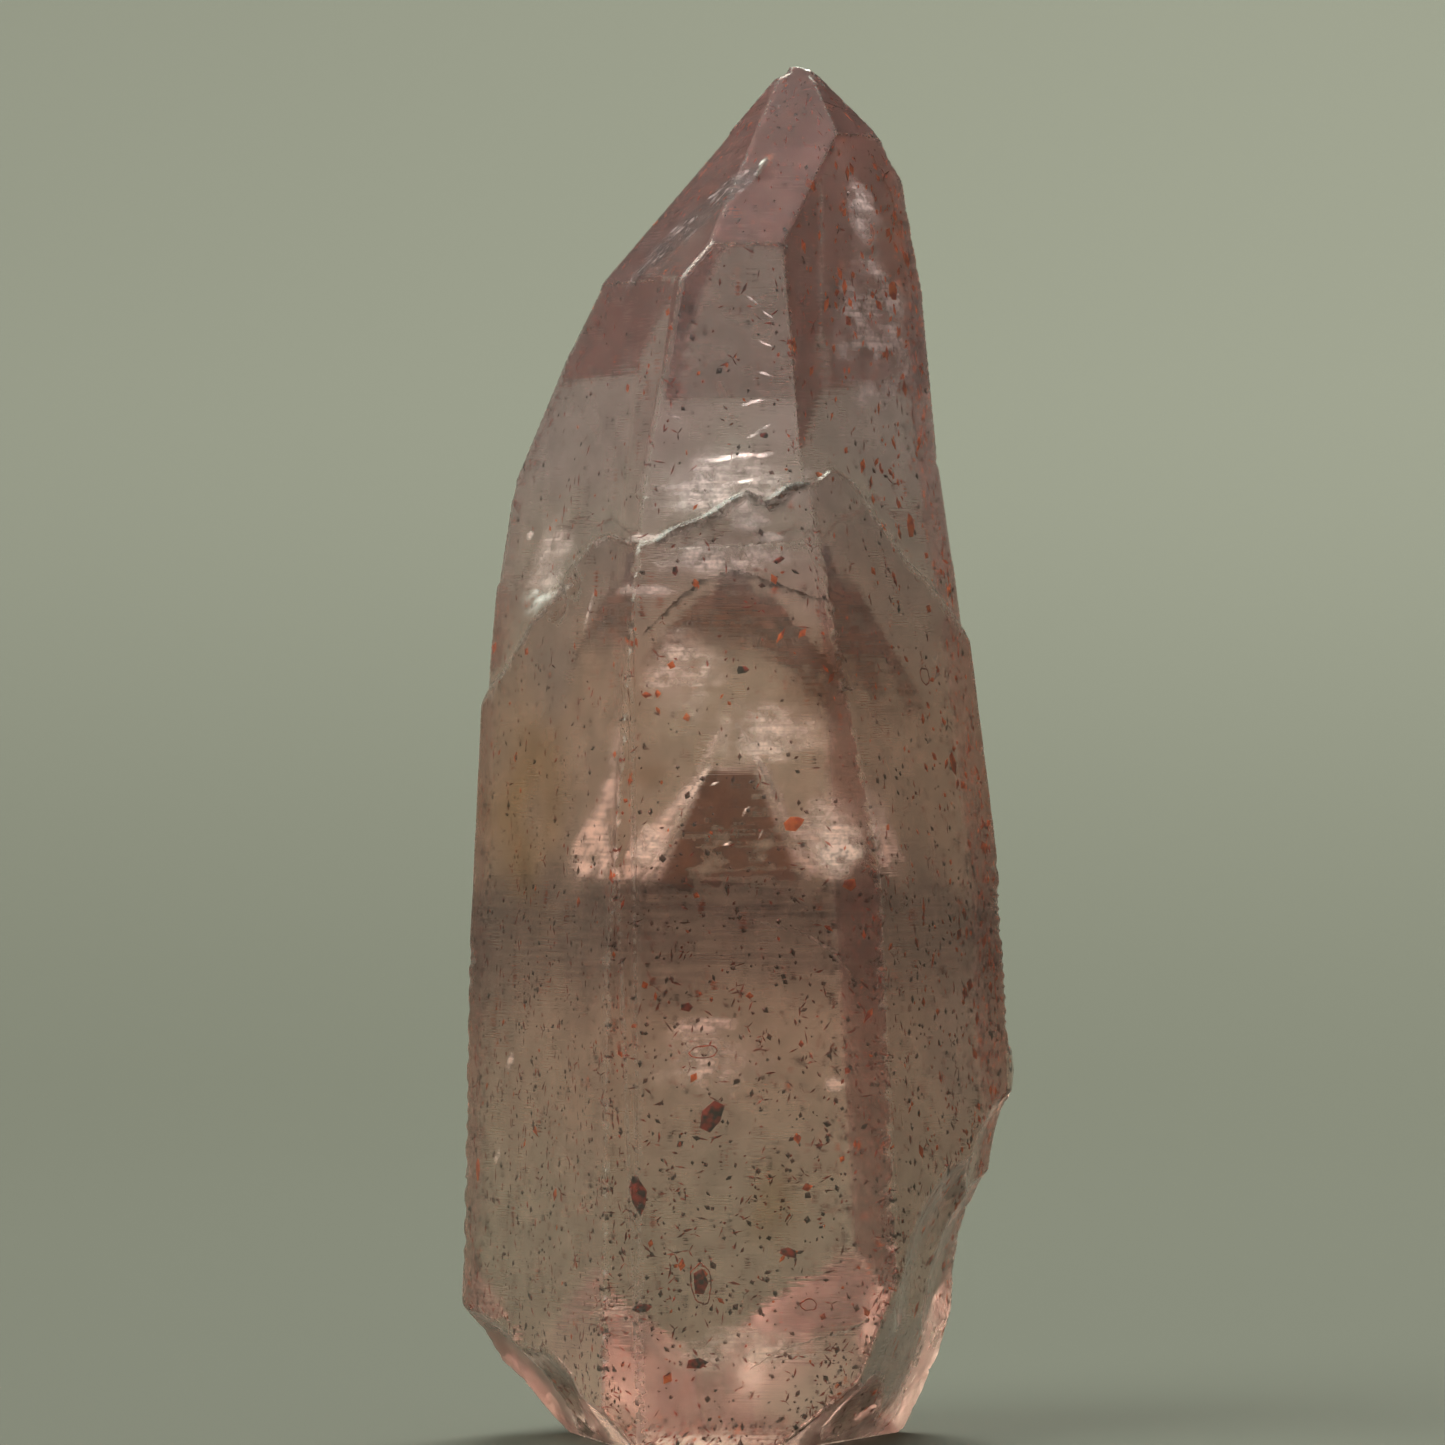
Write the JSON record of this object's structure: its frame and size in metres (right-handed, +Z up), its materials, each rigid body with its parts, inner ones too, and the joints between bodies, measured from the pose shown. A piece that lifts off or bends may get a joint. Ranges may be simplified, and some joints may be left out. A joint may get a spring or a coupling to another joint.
{
  "type": "phantom amethyst point",
  "caption": "Six-sided quartz crystal point with a blunt slanting tip, an uneven growth ledge and a broken foot cut flat to stand on; clear pale mauve with phantoms and red flecks",
  "frame": {"origin": "middle of the crystal's box at the flat cut of its foot", "axes": "+Z up along the crystal to its tip, -Y the front face, +X to the right of someone facing the front"},
  "size_m": [0.0168, 0.0144, 0.0418],
  "materials": {
    "amethyst": "clear, pale mauve and smoky, polished growth faces with fine striations"
  },
  "bodies": {
    "root": {"quartz_point": "amethyst"}
  },
  "joints": []
}
